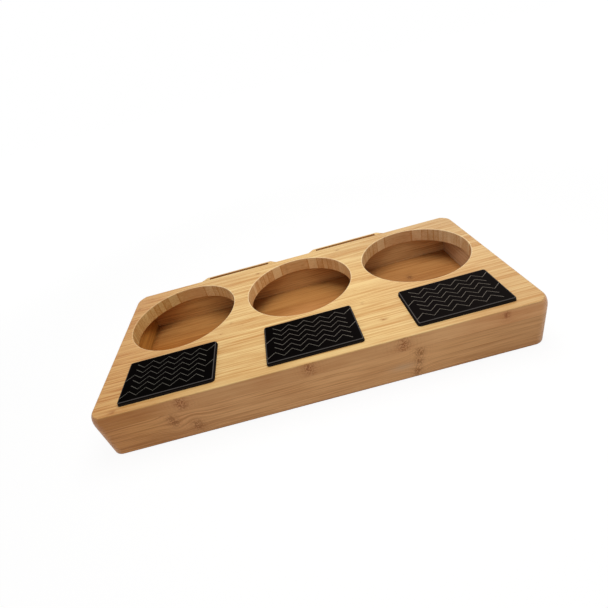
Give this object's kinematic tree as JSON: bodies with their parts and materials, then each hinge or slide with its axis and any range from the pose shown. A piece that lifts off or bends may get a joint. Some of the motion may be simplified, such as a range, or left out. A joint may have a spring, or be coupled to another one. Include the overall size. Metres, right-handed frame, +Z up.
{
  "type": "airpot rack",
  "caption": "Low bamboo box with round wells that hold airpots, lift-out black drip mats in front and slotted bars behind.",
  "frame": {"origin": "on the counter, under the middle of the whole outline, rear bars included", "axes": "+X along the rack to the user's right, -Y towards the user and the drip mats, +Z up"},
  "size_m": [0.621, 0.311, 0.0813],
  "materials": {
    "bamboo_top": "light honey bamboo, satin oil",
    "bamboo_side": "bamboo strips on edge, satin oil",
    "bamboo_inner": "bamboo inside the box, satin oil",
    "mat_rubber": "black, satin",
    "foot_rubber": "black, matt",
    "dowel_wood": "pale hardwood, bare",
    "screw_steel": "zinc-plated steel"
  },
  "bodies": {
    "rack": {"top_board": "bamboo_top", "sign_bar_left": "bamboo_top", "sign_bar_right": "bamboo_top", "front_rail": "bamboo_side", "rear_rail": "bamboo_side", "end_rail_left": "bamboo_side", "end_rail_right": "bamboo_side", "bottom_board": "bamboo_inner", "divider_left": "bamboo_inner", "divider_right": "bamboo_inner", "foot_front_left": "foot_rubber", "foot_front_centre": "foot_rubber", "foot_front_right": "foot_rubber", "foot_rear_left": "foot_rubber", "foot_rear_centre": "foot_rubber", "foot_rear_right": "foot_rubber", "top_dowel_front_1": "dowel_wood", "top_dowel_front_2": "dowel_wood", "top_dowel_front_3": "dowel_wood", "top_dowel_front_4": "dowel_wood", "top_dowel_rear_1": "dowel_wood", "top_dowel_rear_2": "dowel_wood", "top_dowel_rear_3": "dowel_wood", "top_dowel_rear_4": "dowel_wood", "corner_dowel_front_left_low": "dowel_wood", "corner_dowel_front_left_high": "dowel_wood", "corner_dowel_front_right_low": "dowel_wood", "corner_dowel_front_right_high": "dowel_wood", "corner_dowel_rear_left_low": "dowel_wood", "corner_dowel_rear_left_high": "dowel_wood", "corner_dowel_rear_right_low": "dowel_wood", "corner_dowel_rear_right_high": "dowel_wood", "bar_dowel_left_inner": "dowel_wood", "bar_dowel_left_outer": "dowel_wood", "bar_dowel_right_inner": "dowel_wood", "bar_dowel_right_outer": "dowel_wood", "bottom_screw_left_1": "screw_steel", "bottom_screw_left_2": "screw_steel", "bottom_screw_left_3": "screw_steel", "bottom_screw_right_1": "screw_steel", "bottom_screw_right_2": "screw_steel", "bottom_screw_right_3": "screw_steel"},
    "mat_left": {"drip_mat_left": "mat_rubber"},
    "mat_centre": {"drip_mat_centre": "mat_rubber"},
    "mat_right": {"drip_mat_right": "mat_rubber"}
  },
  "joints": [
    {"name": "mat_left_lift", "type": "slide", "parent": "rack", "child": "mat_left", "axis": [0, 0, 1], "range_m": [0, 0.03]},
    {"name": "mat_centre_lift", "type": "slide", "parent": "rack", "child": "mat_centre", "axis": [0, 0, 1], "range_m": [0, 0.03]},
    {"name": "mat_right_lift", "type": "slide", "parent": "rack", "child": "mat_right", "axis": [0, 0, 1], "range_m": [0, 0.03]}
  ]
}
